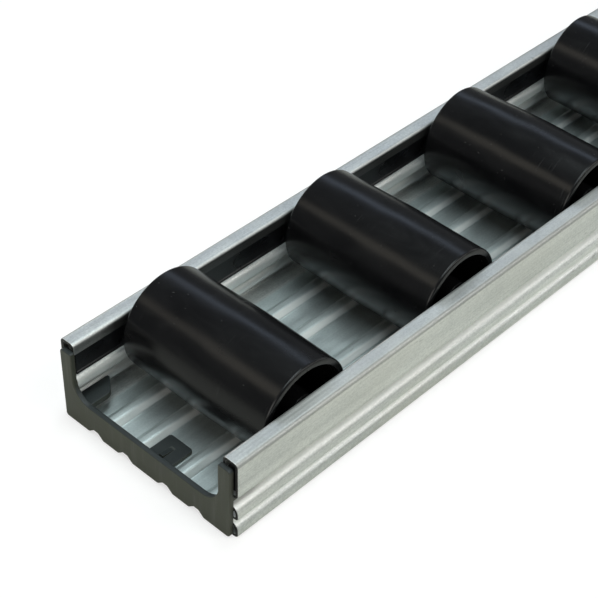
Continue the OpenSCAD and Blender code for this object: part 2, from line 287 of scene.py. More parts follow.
class Shader:
    """A small wrapper that keeps the node code of the materials short."""

    def __init__(self, name):
        self.material = bpy.data.materials.new(name)
        self.material.use_nodes = True
        self.tree = self.material.node_tree
        self.tree.nodes.clear()
        self.out = self.node("ShaderNodeOutputMaterial")
        self.bsdf = self.node("ShaderNodeBsdfPrincipled")
        self.link(self.bsdf.outputs["BSDF"], self.out.inputs["Surface"])
        self.coords = self.node("ShaderNodeTexCoord").outputs["Object"]
        self.normal = self.node("ShaderNodeNewGeometry").outputs["Normal"]

    def node(self, kind, **settings):
        made = self.tree.nodes.new(kind)
        for key, value in settings.items():
            setattr(made, key, value)
        return made

    def link(self, source, socket):
        self.tree.links.new(source, socket)

    def feed(self, socket, value):
        """Sets a socket to a number or a colour, or links another node's output to it."""
        if isinstance(value, (int, float)):
            socket.default_value = value
        elif isinstance(value, tuple):
            socket.default_value = (*value, 1.0)
        else:
            self.link(value, socket)

    def put(self, name, value):
        """Feeds one of the surface's own sockets."""
        self.feed(self.bsdf.inputs[name], value)

    def parts(self, vector):
        """The X, Y and Z of a vector."""
        split = self.node("ShaderNodeSeparateXYZ")
        self.link(vector, split.inputs["Vector"])
        return split.outputs

    def place(self, scale, per_object=False):
        """Object coordinates in cells per metre; per_object shifts each object's pattern."""
        mapping = self.node("ShaderNodeMapping")
        mapping.inputs["Scale"].default_value = scale
        self.link(self.coords, mapping.inputs["Vector"])
        if per_object:
            chance = self.node("ShaderNodeObjectInfo").outputs["Random"]
            self.link(self.math("MULTIPLY", chance, PATTERN_SHIFT), mapping.inputs["Location"])
        return mapping.outputs["Vector"]

    def noise(self, scale, detail, roughness=0.55, distortion=0.0, per_object=False):
        """A noise with this many cells per metre along each axis."""
        made = self.node("ShaderNodeTexNoise")
        made.inputs["Scale"].default_value = 1.0
        made.inputs["Detail"].default_value = detail
        made.inputs["Roughness"].default_value = roughness
        made.inputs["Distortion"].default_value = distortion
        self.link(self.place(scale, per_object), made.inputs["Vector"])
        return made.outputs["Fac"]

    def math(self, operation, *values):
        made = self.node("ShaderNodeMath", operation=operation)
        for socket, value in zip(made.inputs, values):
            self.feed(socket, value)
        return made.outputs["Value"]

    def times(self, first, *others):
        """The product of its values."""
        for other in others:
            first = self.math("MULTIPLY", first, other)
        return first

    def total(self, *terms):
        """The sum of (value, weight) terms."""
        value, weight = terms[0]
        out = self.math("MULTIPLY", value, weight)
        for value, weight in terms[1:]:
            out = self.math("MULTIPLY_ADD", value, weight, out)
        return out

    def span(self, value, low, high, to_low=0.0, to_high=1.0):
        """Maps low to high of a value onto to_low to to_high, and holds it there beyond them."""
        made = self.node("ShaderNodeMapRange", clamp=True)
        for key, number in (("From Min", low), ("From Max", high), ("To Min", to_low), ("To Max", to_high)):
            made.inputs[key].default_value = number
        self.link(value, made.inputs["Value"])
        return made.outputs["Result"]

    def mix(self, factor, a, b):
        """Colour a, turned into b by the factor."""
        made = self.node("ShaderNodeMix", data_type="RGBA")
        factor_socket, a_socket, b_socket = made.inputs[0], made.inputs[6], made.inputs[7]
        self.feed(factor_socket, factor)
        self.feed(a_socket, a)
        self.feed(b_socket, b)
        return made.outputs[2]

    def bump(self, height, strength, distance, normal=None):
        made = self.node("ShaderNodeBump")
        made.inputs["Strength"].default_value = strength
        made.inputs["Distance"].default_value = distance
        self.link(height, made.inputs["Height"])
        if normal is not None:
            self.link(normal, made.inputs["Normal"])
        return made.outputs["Normal"]

    def edge_mask(self, radius):
        """1 along edges, 0 on flats: how far a rounded normal departs from the real one."""
        soft = self.node("ShaderNodeBevel", samples=4)
        soft.inputs["Radius"].default_value = radius
        dot = self.node("ShaderNodeVectorMath", operation="DOT_PRODUCT")
        self.link(soft.outputs["Normal"], dot.inputs[0])
        self.link(self.normal, dot.inputs[1])
        return self.span(dot.outputs["Value"], 0.70, 0.98, 1.0, 0.0)


# ---------------------------------------------------------------- steel

# Painted highlights on the floor's ribs and the walls' folds, painted shade on the lips and top bends
HIGHLIGHT_HALF_W = 2.2 * MM
HIGHLIGHT_TOP = SHEET + RIB_H + 0.4 * MM
FOLD_HIGHLIGHT_LOW = 2.5 * MM
FOLD_HIGHLIGHT_HIGH = SHELF_Z - 0.9 * MM
# Lowest height of the painted shade
SHADE_LOW = TOP - 6.0 * MM
WALL_X = NOSE_X - 1.1 * MM
FADE_START, FADE_END = HALF_LEN - 13.5 * MM, HALF_LEN - 8.5 * MM
ROLLED_ALONG = (0, 1, 0)


def fade_at_ends(s, share):
    """1 along the track, less by this share in its last few millimetres."""
    return s.span(s.math("ABSOLUTE", s.parts(s.coords)["Y"]), FADE_START, FADE_END, 1.0, 1.0 - share)


def on_walls(s):
    """0 in the trough, 1 on the side walls with their folds."""
    return s.span(s.math("ABSOLUTE", s.parts(s.coords)["X"]), WALL_X, WALL_X + 1.0 * MM)


def painted_highlight(s):
    """How much highlight is painted on the sheet: on the floor's ribs, most on their flanks that face right,
    and on the walls' folds.
    """
    place = s.parts(s.coords)
    x, z = s.math("ABSOLUTE", place["X"]), place["Z"]
    outer, inner = (s.math("ABSOLUTE", s.math("SUBTRACT", x, rib_x)) for rib_x in RIB_XS)
    near = s.span(s.math("MINIMUM", outer, inner), HIGHLIGHT_HALF_W, HIGHLIGHT_HALF_W + 0.3 * MM, 1.0, 0.0)
    low = s.span(z, HIGHLIGHT_TOP, HIGHLIGHT_TOP + 0.2 * MM, 1.0, 0.0)
    # Painted highlight, strongest on the ribs' flanks that face right
    faces_right = s.span(s.parts(s.normal)["X"], 0.30, 0.65, 0.12, 0.85)
    ribs = s.times(near, low, faces_right, fade_at_ends(s, 0.55))
    folds = s.times(
        s.span(x, HALF_W - 1.2 * MM, HALF_W - 0.6 * MM, 0.6, 0.0),
        s.span(x, NOSE_X - 0.9 * MM, NOSE_X - 0.4 * MM),
        s.span(z, FOLD_HIGHLIGHT_LOW, FOLD_HIGHLIGHT_LOW + 1.0 * MM),
        s.span(z, FOLD_HIGHLIGHT_HIGH, FOLD_HIGHLIGHT_HIGH + 0.4 * MM, 1.0, 0.0),
    )
    return s.math("MAXIMUM", ribs, folds)


def painted_shade(s):
    """How much shade is painted on the sheet: the lips' faces, the top bends and a little the flanges."""
    place, facing = s.parts(s.coords), s.parts(s.normal)
    outward = s.times(s.math("SIGN", place["X"]), facing["X"])
    lip = s.times(s.span(outward, -0.9, -0.55, 0.93, 0.0), fade_at_ends(s, 0.35))
    bend = s.times(s.span(outward, 0.15, 0.45, 0.0, 0.40), s.span(facing["Z"], 0.10, 0.35))
    flange = s.span(facing["Z"], 0.90, 0.98, 0.0, 0.10)
    high = s.span(place["Z"], SHADE_LOW, SHADE_LOW + 1.0 * MM)
    return s.times(s.math("MAXIMUM", s.math("MAXIMUM", lip, bend), flange), high)


def galvanised_steel():
    """Bright roll-formed sheet: drawing lines along Y, soft spangle, painted highlights on ribs and folds, and
    painted shade on lips and bends.
    """
    s = Shader("galvanised_steel")
    lines = s.noise((2600, 9, 2600), 4, roughness=0.6)
    wide_lines = s.noise((420, 3, 420), 2)
    spangle = s.noise((150, 60, 150), 5, roughness=0.62, distortion=0.6)
    cloud = s.noise((38, 16, 38), 2)
    grain = s.noise((2300, 1500, 2300), 3, roughness=0.7)
    warm = s.noise((24, 11, 24), 2, distortion=0.4)
    specks = s.noise((700, 300, 700), 1)
    walls = on_walls(s)
    highlight_mask = painted_highlight(s)
    # The zinc's own tone, warm patches on the walls, a painted cool reflection on the trough, stains, painted
    # highlights and painted shade
    tone = s.total((lines, 0.20), (wide_lines, 0.22), (spangle, 0.18), (cloud, 0.14), (grain, 0.26))
    base = s.mix(s.span(tone, 0.42, 0.58), (0.53, 0.545, 0.54), (0.81, 0.825, 0.81))
    base = s.mix(s.times(s.span(warm, 0.45, 0.70, 0.0, 0.30), walls), base, (0.78, 0.755, 0.68))
    # A cool tint painted on the trough: painted reflection of the cool light above
    base = s.mix(s.math("MULTIPLY_ADD", walls, -0.55, 0.55), base, (0.60, 0.71, 0.72))
    stains = s.times(s.span(specks, 0.70, 0.76), s.span(cloud, 0.52, 0.62), 0.35)
    base = s.mix(stains, base, (0.30, 0.30, 0.29))
    # Painted highlights on the ribs and folds
    base = s.mix(highlight_mask, base, (0.94, 0.95, 0.93))
    # Painted shade on the lips' faces, the top bends and the flanges
    base = s.mix(painted_shade(s), base, (0.03, 0.03, 0.03))
    s.put("Base Color", base)
    s.put("Metallic", s.math("MULTIPLY_ADD", highlight_mask, -0.35, 0.85))
    # Highlights stretch across the drawing lines
    s.put("Anisotropic", 0.2)
    tangent = s.node("ShaderNodeVectorMath", operation="CROSS_PRODUCT")
    s.link(s.normal, tangent.inputs[0])
    tangent.inputs[1].default_value = ROLLED_ALONG
    s.put("Tangent", tangent.outputs["Vector"])
    rough = s.span(lines, 0.3, 0.7, 0.40, 0.50)
    rough = s.math("ADD", rough, s.span(spangle, 0.35, 0.65, -0.03, 0.06))
    rough = s.math("ADD", rough, s.span(grain, 0.35, 0.65, 0.05, -0.05))
    s.put("Roughness", s.math("MULTIPLY_ADD", highlight_mask, 0.10, rough))
    height = s.total((wide_lines, 0.8), (lines, 0.6), (grain, 0.9))
    s.put("Normal", s.bump(height, 0.45, 0.08 * MM))
    return s.material


def cut_steel():
    """The sheared ends of the sheet: dull steel painted almost black as painted shade, with a fine grain."""
    s = Shader("cut_steel")
    grain = s.noise((900, 900, 900), 4)
    # Almost black base colour: painted shade on the cut ends
    s.put("Base Color", s.mix(s.span(grain, 0.35, 0.65), (0.008, 0.008, 0.008), (0.022, 0.022, 0.022)))
    s.put("Metallic", 0.3)
    s.put("Roughness", s.span(grain, 0.3, 0.7, 0.45, 0.65))
    s.put("Normal", s.bump(grain, 0.4, 0.10 * MM))
    return s.material


def bright_steel():
    """Drawn steel rod: rings from its turning, lightly oiled."""
    s = Shader("bright_steel")
    rings = s.noise((2400, 60, 60), 3)
    haze = s.noise((120, 120, 120), 3, per_object=True)
    s.put("Base Color", s.mix(s.span(haze, 0.35, 0.65), (0.52, 0.53, 0.55), (0.68, 0.69, 0.71)))
    s.put("Metallic", 1.0)
    s.put("Roughness", s.span(rings, 0.3, 0.7, 0.18, 0.32))
    s.put("Normal", s.bump(rings, 0.15, 0.04 * MM))
    return s.material


# ---------------------------------------------------------------- plastics

def roller_plastic():
    """Satin black moulding: flow marks and sinks, specks of dust, and scuffs where loads have run."""
    s = Shader("roller_plastic")
    grain = s.noise((2200, 2200, 2200), 2, per_object=True)
    flow = s.noise((60, 160, 160), 4, distortion=0.8, per_object=True)
    sink = s.noise((42, 55, 55), 1, per_object=True)
    scuff_lines = s.noise((1500, 70, 70), 3, roughness=0.7, per_object=True)
    scuff_zone = s.noise((70, 90, 90), 2, per_object=True)
    specks = s.noise((1700, 1700, 1700), 0, per_object=True)
    scuff = s.times(s.span(scuff_lines, 0.60, 0.74), s.span(scuff_zone, 0.50, 0.68))
    dust = s.span(specks, 0.845, 0.88, 0.0, 0.22)
    base = s.mix(s.span(flow, 0.35, 0.65), (0.0035, 0.0035, 0.0040), (0.0060, 0.0060, 0.0065))
    base = s.mix(s.times(scuff, 0.5), base, (0.035, 0.035, 0.036))
    base = s.mix(dust, base, (0.20, 0.20, 0.19))
    base = s.mix(s.times(s.edge_mask(0.5 * MM), 0.35), base, (0.055, 0.055, 0.053))
    s.put("Base Color", base)
    s.put("Roughness", s.math("MULTIPLY_ADD", scuff, 0.06, s.span(flow, 0.3, 0.7, 0.21, 0.28)))
    s.put("Specular IOR Level", 0.31)
    height = s.total((flow, 0.5), (grain, 0.3))
    s.put("Normal", s.bump(height, 0.12, 0.08 * MM, s.bump(sink, 0.5, 0.80 * MM)))
    return s.material


def holder_plastic():
    """Semi-gloss black moulding of the axle holders, with worn edges."""
    s = Shader("holder_plastic")
    grain = s.noise((1600, 1600, 1600), 2)
    flow = s.noise((90, 40, 90), 3)
    base = s.mix(s.span(flow, 0.35, 0.65), (0.004, 0.004, 0.005), (0.007, 0.007, 0.008))
    base = s.mix(s.times(s.edge_mask(0.25 * MM), 0.4), base, (0.05, 0.05, 0.05))
    s.put("Base Color", base)
    s.put("Roughness", s.span(flow, 0.3, 0.7, 0.24, 0.36))
    s.put("Specular IOR Level", 0.3)
    s.put("Normal", s.bump(grain, 0.1, 0.05 * MM))
    return s.material


def grey_plastic():
    """Matt olive-grey moulding of the end caps: fine grain, painted shade with a cool painted reflection where
    they face up, paler worn edges.
    """
    s = Shader("grey_plastic")
    grain = s.noise((2600, 2600, 2600), 2)
    cloud = s.noise((160, 160, 160), 4, distortion=0.5)
    streak = s.noise((900, 900, 60), 2)
    painted_top_shade = s.span(s.parts(s.normal)["Z"], 0.25, 0.65, 0.0, 0.85)
    base = s.mix(s.span(cloud, 0.35, 0.65), (0.033, 0.035, 0.0245), (0.045, 0.048, 0.034))
    base = s.mix(s.span(streak, 0.55, 0.75, 0.0, 0.25), base, (0.115, 0.120, 0.108))
    # Painted shade with a cool painted reflection on faces that look up
    base = s.mix(painted_top_shade, base, (0.022, 0.028, 0.031))
    base = s.mix(s.times(s.edge_mask(0.4 * MM), 0.40), base, (0.130, 0.135, 0.122))
    s.put("Base Color", base)
    s.put("Roughness", s.span(cloud, 0.3, 0.7, 0.42, 0.55))
    s.put("Specular IOR Level", 0.42)
    s.put("Normal", s.bump(grain, 0.25, 0.08 * MM))
    return s.material


STEEL = galvanised_steel()
CUT = cut_steel()
ROD = bright_steel()
ROLLER = roller_plastic()
HOLDER = holder_plastic()
CAP = grey_plastic()


# ---------------------------------------------------------------- channel

CUT_EASE = 0.12 * MM
CUT_NARROWING = 0.8 * CUT_EASE
CUT_INDEX = 1    # the cut ends' place in the sheet's list of materials


def half_section():
    """Corners of the sheet's middle line from the right lip to the floor's middle, (x, z, bend radius)."""
    wall = HALF_W - SHEET / 2
    lip = LIP_X + SHEET / 2
    flange = TOP - SHEET / 2
    floor = SHEET / 2
    nose = NOSE_X + SHEET / 2
    shelf = SHELF_Z - SHEET / 2
    bead_nose = HALF_W - BEAD_DEPTH + SHEET / 2
    bead = BEAD_Z - SHEET / 2
    corners = [
        (lip, LIP_FOOT, 0),
        (lip, flange, LIP_BEND_R),
        (wall, flange, EDGE_R),
        (wall, shelf, UNDER_BEND_R),
        (nose, shelf, NOSE_BEND_R),
        (nose, shelf - NOSE_H, NOSE_BEND_R),
        (wall, shelf - NOSE_H - FOLD_FALL, FOLD_BEND_R),
        (wall, bead, UNDER_BEND_R),
        (bead_nose, bead, BEND_R),
        (bead_nose, bead - BEAD_NOSE_H, BEND_R),
        (wall, bead - BEAD_NOSE_H - BEAD_FALL, BEAD_BEND_R),
        (wall, floor, EDGE_R),
    ]
    for x in RIB_XS:
        corners += [
            (x + RIB_FOOT / 2, floor, BEND_R),
            (x + RIB_CREST / 2, floor + RIB_H, BEND_R),
            (x - RIB_CREST / 2, floor + RIB_H, BEND_R),
            (x - RIB_FOOT / 2, floor, BEND_R),
        ]
    return corners


def sheet_face(corners, side, steps=8):
    """One face of the sheet along the section, to the middle line's left (side 1) or right (side -1)."""
    offset = side * SHEET / 2
    points = [Vector(corner[:2]) for corner in corners]
    out = [points[0] + left_of(unit(points[1] - points[0])) * offset]
    for k in range(1, len(points) - 1):
        out += arc(points[k - 1], points[k], points[k + 1], corners[k][2], offset, steps)
    out.append(points[-1] + left_of(unit(points[-1] - points[-2])) * offset)
    return out


def build_channel():
    """The section drawn along the track; its cut ends are narrowed a little and have their own material."""
    half = half_section()
    corners = half + mirrored(half)
    left, right = sheet_face(corners, 1), sheet_face(corners, -1)
    stations = [
        (-HALF_LEN, CUT_NARROWING),
        (-HALF_LEN + CUT_EASE, 0),
        (HALF_LEN - CUT_EASE, 0),
        (HALF_LEN, CUT_NARROWING),
    ]
    bm = bmesh.new()
    rings = []
    for y, narrowing in stations:
        ring_left, ring_right = [], []
        for a, b in zip(left, right):
            across = unit(b - a) * narrowing
            ring_left.append(bm.verts.new((a.x + across.x, y, a.y + across.y)))
            ring_right.append(bm.verts.new((b.x - across.x, y, b.y - across.y)))
        rings.append((ring_left, ring_right))
    last = len(left) - 1
    for (left_a, right_a), (left_b, right_b) in zip(rings, rings[1:]):
        for k in range(last):
            bm.faces.new((left_a[k], left_a[k + 1], left_b[k + 1], left_b[k]))
            bm.faces.new((right_a[k + 1], right_a[k], right_b[k], right_b[k + 1]))
        for k in (0, last):
            bm.faces.new((left_a[k], left_b[k], right_b[k], right_a[k])).material_index = CUT_INDEX
    for ring_left, ring_right in (rings[0], rings[-1]):
        for k in range(last):
            cut = bm.faces.new((ring_left[k], ring_left[k + 1], ring_right[k + 1], ring_right[k]))
            cut.material_index = CUT_INDEX
    mesh = mesh_from(bm, "channel_sheet", [STEEL, CUT], WIDE_CREASE)
    add_piece("channel_sheet", mesh, "track", "channel")


# ---------------------------------------------------------------- rollers and axles

# The middle is 0.01 mm slimmer than in the part's source, to stay inside the CAD's box
ROLLER_MID_R = 29.99 * MM / 2
ROLLER_RIM_R = 29.0 * MM / 2
ROLLER_HALF = NOSE_X - 0.6 * MM
CROWN_R = 150 * MM
ROLLER_WALL = 1.7 * MM
CORE_DRAFT = 0.7 * MM
WEB_T = 2.2 * MM
WEB_FILLET = 0.8 * MM
AXLE_R = 2.5 * MM
AXLE_CHAMFER = 0.4 * MM
AXLE_EDGE_R = 0.1 * MM
AXLE_CORE_R = 0.05 * MM
BORE_R = AXLE_R + 0.06 * MM
HUB_R = 8.4 * MM / 2
HUB_FACE_R = 6.2 * MM / 2
HUB_EDGE_R = 0.25 * MM
RIM_EDGE_R = 0.7 * MM
RIM_INNER_R = 0.2 * MM
RIB_COUNT = 6
RIB_T = 1.2 * MM
RIB_INSET = 9.0 * MM
RIB_SINK = 0.2 * MM
RIB_EDGE = 0.15 * MM
BARREL_SIDES = 128
ROD_SIDES = 48


def roller_mesh():
    """A hollow barrel with its web and hub, turned from one section, and ribs between hub and barrel."""
    half = [
        (-HUB_HALF, BORE_R, HUB_EDGE_R),
        (-HUB_HALF, HUB_FACE_R, HUB_EDGE_R),
        (-ROLLER_HALF, HUB_FACE_R, HUB_EDGE_R),
        (-ROLLER_HALF + HUB_R - HUB_FACE_R, HUB_R, HUB_EDGE_R),
        (-WEB_T / 2, HUB_R + CORE_DRAFT, WEB_FILLET),
        (-WEB_T / 2, ROLLER_MID_R - ROLLER_WALL - CORE_DRAFT, WEB_FILLET),
        (-ROLLER_HALF, ROLLER_RIM_R - ROLLER_WALL, RIM_INNER_R),
        (-ROLLER_HALF, ROLLER_RIM_R, RIM_EDGE_R),
    ]
    corners = half + [(0, ROLLER_MID_R, CROWN_R)] + mirrored(half)
    bm = bmesh.new()
    add_lathe(bm, rounded(corners, steps=6), BARREL_SIDES)
    rib_half = ROLLER_HALF - RIB_INSET
    section = rectangle(-RIB_T / 2, RIB_T / 2, HUB_R - RIB_SINK, ROLLER_RIM_R - ROLLER_WALL + RIB_SINK)
    for k in range(RIB_COUNT):
        rib = bmesh.new()
        add_prism(rib, section, "x", -rib_half, rib_half)
        rib.transform(Matrix.Rotation(2 * math.pi * k / RIB_COUNT, 4, "X"))
        add_softened(bm, rib, RIB_EDGE)
    return mesh_from(bm, "roller_barrel", [ROLLER])


def axle_mesh():
    """A rod with chamfered ends. A hair-thin bore keeps the lathe's rings open."""
    half = [
        (-AXLE_HALF, AXLE_CORE_R, 0),
        (-AXLE_HALF, AXLE_R - AXLE_CHAMFER, AXLE_EDGE_R),
        (-AXLE_HALF + AXLE_CHAMFER, AXLE_R, AXLE_EDGE_R),
    ]
    bm = bmesh.new()
    add_lathe(bm, rounded(half + mirrored(half), steps=3), ROD_SIDES)
    return mesh_from(bm, "axle_rod", [ROD])


# ---------------------------------------------------------------- axle holders

HOLDER_CLEAR = 0.2 * MM
HOLDER_FACE = LIP_X + 0.8 * MM
HOLDER_BACK = HALF_W - SHEET - HOLDER_CLEAR
HOLDER_TOP = LIP_FOOT - HOLDER_CLEAR
HOLDER_EDGE = 0.12 * MM
SEAT_R = AXLE_R + 0.03 * MM
STEP_SINK = 0.3 * MM
FOOT_RAIL_H = 0.8 * MM
FOOT_RAIL_OUT = 0.2 * MM
RAIL_SINK = 0.2 * MM
KNOB_R = 2.0 * MM
KNOB_REACH = 0.5 * MM
KNOB_Z = SHELF_Z + 3.6 * MM
JOINT_GAP = 0.15 * MM
END_SETBACK = 0.9 * MM
WINDOW_R = 0.7 * MM
WINDOW_Y = 13.4 * MM
WINDOW_Z = SHELF_Z + 1.9 * MM
SEAT_SIDES = 32
WINDOW_SIDES = 20


def hook_curve(y, radius, edge_y, steps=20):
    """The part of a circle about (y, KNOB_Z) that lies in front of an edge at edge_y, from below to above."""
    reach = math.sqrt(radius ** 2 - (edge_y - y) ** 2)
    start = math.atan2(-reach, edge_y - y) + 2 * math.pi
    sweep = math.atan2(reach, edge_y - y) - start
    angles = [start + sweep * k / steps for k in range(steps + 1)]
    return [Vector((y + radius * math.cos(at), KNOB_Z + radius * math.sin(at))) for at in angles]


def holder_mesh(kind, side):
    """One axle holder about its axle's place along the track: kind is first, mid or last."""
    front = END_SETBACK - END_PITCH if kind == "first" else (JOINT_GAP - PITCH) / 2
    back = END_PITCH - END_SETBACK if kind == "last" else (PITCH - JOINT_GAP) / 2
    socket, knob = [], []
    if kind != "last":
        socket = hook_curve(PITCH / 2 - KNOB_REACH, KNOB_R + JOINT_GAP, back)
    if kind != "first":
        knob = hook_curve(-PITCH / 2 - KNOB_REACH, KNOB_R, front)[::-1]
    outline = [Vector((front, SHELF_Z)), Vector((back, SHELF_Z)), *socket]
    outline += [Vector((back, HOLDER_TOP)), Vector((front, HOLDER_TOP)), *knob]
    holes = [disc(0, AXLE_Z, SEAT_R, SEAT_SIDES)]
    holes += [disc(y, WINDOW_Z, WINDOW_R, WINDOW_SIDES) for y in (-WINDOW_Y, WINDOW_Y)]
    bm = bmesh.new()
    add_prism(bm, outline, "x", HOLDER_FACE, HOLDER_BACK, holes)
    # The upper step behind the lip, and the foot rail along the face
    step = rectangle(
        LIP_X + SHEET + HOLDER_CLEAR, HOLDER_BACK, HOLDER_TOP - STEP_SINK, TOP - SHEET - HOLDER_CLEAR,
    )
    add_prism(bm, step, "y", front, back)
    rail = [
        Vector((HOLDER_FACE - FOOT_RAIL_OUT, SHELF_Z)),
        Vector((HOLDER_FACE + RAIL_SINK, SHELF_Z)),
        Vector((HOLDER_FACE + RAIL_SINK, SHELF_Z + FOOT_RAIL_H + RAIL_SINK)),
        Vector((HOLDER_FACE - FOOT_RAIL_OUT, SHELF_Z + FOOT_RAIL_H - FOOT_RAIL_OUT)),
    ]
    add_prism(bm, rail, "y", front, back)
    if side < 0:
        bm.transform(Matrix.Scale(-1, 4, (1, 0, 0)))
    name = "axle_holder_" + kind + ("_left" if side < 0 else "_right")
    return mesh_from(bm, name, [HOLDER], WIDE_CREASE)


# ---------------------------------------------------------------- end caps

CAP_T = 1.5 * MM
CAP_INSET = 1.2 * MM
CAP_DRAFT = 0.3 * MM
CAP_TOP = TOP - 2.1 * MM
CAP_LIFT = 0.3 * MM
CAP_LEG_W = 4.1 * MM
CAP_LEG_R = 0.5 * MM
CAP_BASE = CAP_LIFT + 8.6 * MM
CAP_FILLET = 5.6 * MM
CAP_CORNER = 1.0 * MM
CAP_EDGE = 0.35 * MM
NOTCH = 0.2 * MM
NOTCH_FOOT_R = 0.9 * MM
NOTCH_CREST_R = 0.7 * MM
TONGUE_LEN = 11.2 * MM
TONGUE_GAP = 0.15 * MM
MID_W, MID_T, MID_EDGE = 8.2 * MM, 1.1 * MM, 0.15 * MM
MID_TOP = SHEET + TONGUE_GAP + MID_T
MID_TIP_R = 0.9 * MM
TIP_W = 0.9 * MM
LEAD, LEAD_R = 3.6 * MM, 2.5 * MM
SIDE_W, SIDE_T, SIDE_EDGE = 5.4 * MM, 1.7 * MM, 0.2 * MM
SIDE_X = HALF_W - BEAD_DEPTH - TONGUE_GAP
SIDE_Z = 6.8 * MM
GROOVE_W, GROOVE_T, GROOVE_EDGE = 2.6 * MM, 1.0 * MM, 0.12 * MM
GROOVE_Z = SHELF_Z - SHEET - TONGUE_GAP
WEDGE_H, WEDGE_LEN, WEDGE_W = 0.7 * MM, 4.4 * MM, 1.4 * MM
WEDGE_SETBACK, WEDGE_SINK, WEDGE_EDGE = 2.8 * MM, 0.1 * MM, 0.1 * MM


def cap_half_w(z):
    """Half the cap's width at a height: it narrows a little towards its foot."""
    return HALF_W - CAP_INSET - CAP_DRAFT * (CAP_TOP - z) / CAP_TOP


def cap_outline():
    """The U of the plate, with notches in its foot that follow the floor's ribs."""
    leg_in = cap_half_w(CAP_TOP) - CAP_LEG_W
    right = []
    for x in reversed(RIB_XS):
        right += [
            (x - RIB_FOOT / 2 - NOTCH, CAP_LIFT, NOTCH_FOOT_R),
            (x - RIB_CREST / 2, RIB_H + NOTCH, NOTCH_CREST_R),
            (x + RIB_CREST / 2, RIB_H + NOTCH, NOTCH_CREST_R),
            (x + RIB_FOOT / 2 + NOTCH, CAP_LIFT, NOTCH_FOOT_R),
        ]
    right += [
        (cap_half_w(CAP_LIFT), CAP_LIFT, CAP_CORNER),
        (cap_half_w(CAP_TOP), CAP_TOP, CAP_CORNER),
        (leg_in, CAP_TOP, CAP_LEG_R),
        (leg_in, CAP_BASE, CAP_FILLET),
    ]
    return rounded(right + mirrored(right), steps=10)


def mid_tongue():
    """Corners of the tongue that lies on the floor, (x, y, radius)."""
    return [
        (MID_W / 2, CAP_T / 2, 0),
        (MID_W / 2, -TONGUE_LEN, MID_TIP_R),
        (-MID_W / 2, -TONGUE_LEN, MID_TIP_R),
        (-MID_W / 2, CAP_T / 2, 0),
    ]


def slanted_tongue(side, x_cut, x_tip):
    """Corners of a side tongue: its side at x_tip is straight, the one at x_cut is cut back to lead it in."""
    x_end = x_tip + math.copysign(TIP_W, x_cut - x_tip)
    corners = [
        (x_tip, CAP_T / 2, 0),
        (x_tip, -TONGUE_LEN, 0),
        (x_end, -TONGUE_LEN, 0),
        (x_cut, -TONGUE_LEN + LEAD, LEAD_R),
        (x_cut, CAP_T / 2, 0),
    ]
    return [(side * x, y, r) for x, y, r in corners]


def add_tongue(bm, corners, thickness, top, edge):
    """Adds a flat tongue whose upper face is at top."""
    add_rounded_prism(bm, rounded(corners), "z", top - thickness, top, edge)


def add_wedge(bm):
    """Adds the small wedge on the middle tongue, which rises towards the plate."""
    low_y = WEDGE_SETBACK - TONGUE_LEN
    high_y = low_y + WEDGE_LEN
    foot = MID_TOP - WEDGE_SINK
    corners = [(low_y, foot), (high_y, foot), (high_y, MID_TOP + WEDGE_H), (low_y, MID_TOP)]
    wedge = bmesh.new()
    add_prism(wedge, [Vector(corner) for corner in corners], "x", -WEDGE_W / 2, WEDGE_W / 2)
    add_softened(bm, wedge, WEDGE_EDGE)


def build_cap(node, turned):
    """A cap at the track's rear end, or turned round to its front end."""
    bm = bmesh.new()
    add_rounded_prism(bm, cap_outline(), "y", 0, CAP_T, CAP_EDGE, steps=4)
    add_tongue(bm, mid_tongue(), MID_T, MID_TOP, MID_EDGE)
    groove_x = cap_half_w(GROOVE_Z - GROOVE_T)
    for side in (-1, 1):
        inner = slanted_tongue(side, SIDE_X - SIDE_W, SIDE_X)
        outer = slanted_tongue(side, groove_x, groove_x - GROOVE_W)
        add_tongue(bm, inner, SIDE_T, SIDE_Z, SIDE_EDGE)
        add_tongue(bm, outer, GROOVE_T, GROOVE_Z, GROOVE_EDGE)
    add_wedge(bm)
    bm.transform(Matrix.Translation((0, HALF_LEN, 0)))
    if turned:
        bm.transform(Matrix.Rotation(math.pi, 4, "Z"))
    mesh = mesh_from(bm, node + "_moulding", [CAP])
    add_piece(node + "_moulding", mesh, "track", node)


# ---------------------------------------------------------------- the object

def build_rollers():
    """Every roller on its own body, with its axle and two holders on the track."""
    barrel, rod = roller_mesh(), axle_mesh()
    holders = {(kind, side): holder_mesh(kind, side) for kind in ("first", "mid", "last") for side in (-1, 1)}
    for index, body in enumerate(roller_bodies):
        number = body.removeprefix("roller_")
        centre = spin[body]
        add_piece("barrel_" + number, barrel, body, "roller_" + number, centre)
        add_piece("rod_" + number, rod, "track", "axle_" + number, centre)
        kind = {0: "first", len(roller_bodies) - 1: "last"}.get(index, "mid")
        for side, word in ((-1, "left"), (1, "right")):
            add_piece(
                word + "_holder_" + number, holders[kind, side], "track", word + "_axle_holder_" + number,
                (0, centre.y, 0), HOLDER_EDGE,
            )


build_channel()
build_cap("front_end_cap", turned=True)
build_cap("rear_end_cap", turned=False)
build_rollers()


# ---------------------------------------------------------------- floor

FLOOR_HALF = 12.0
FLOOR_DROP = 0.03 * MM
FLOOR_GLOW = 0.62
GLOW_FROM, GLOW_TO = 0.6, 1.8


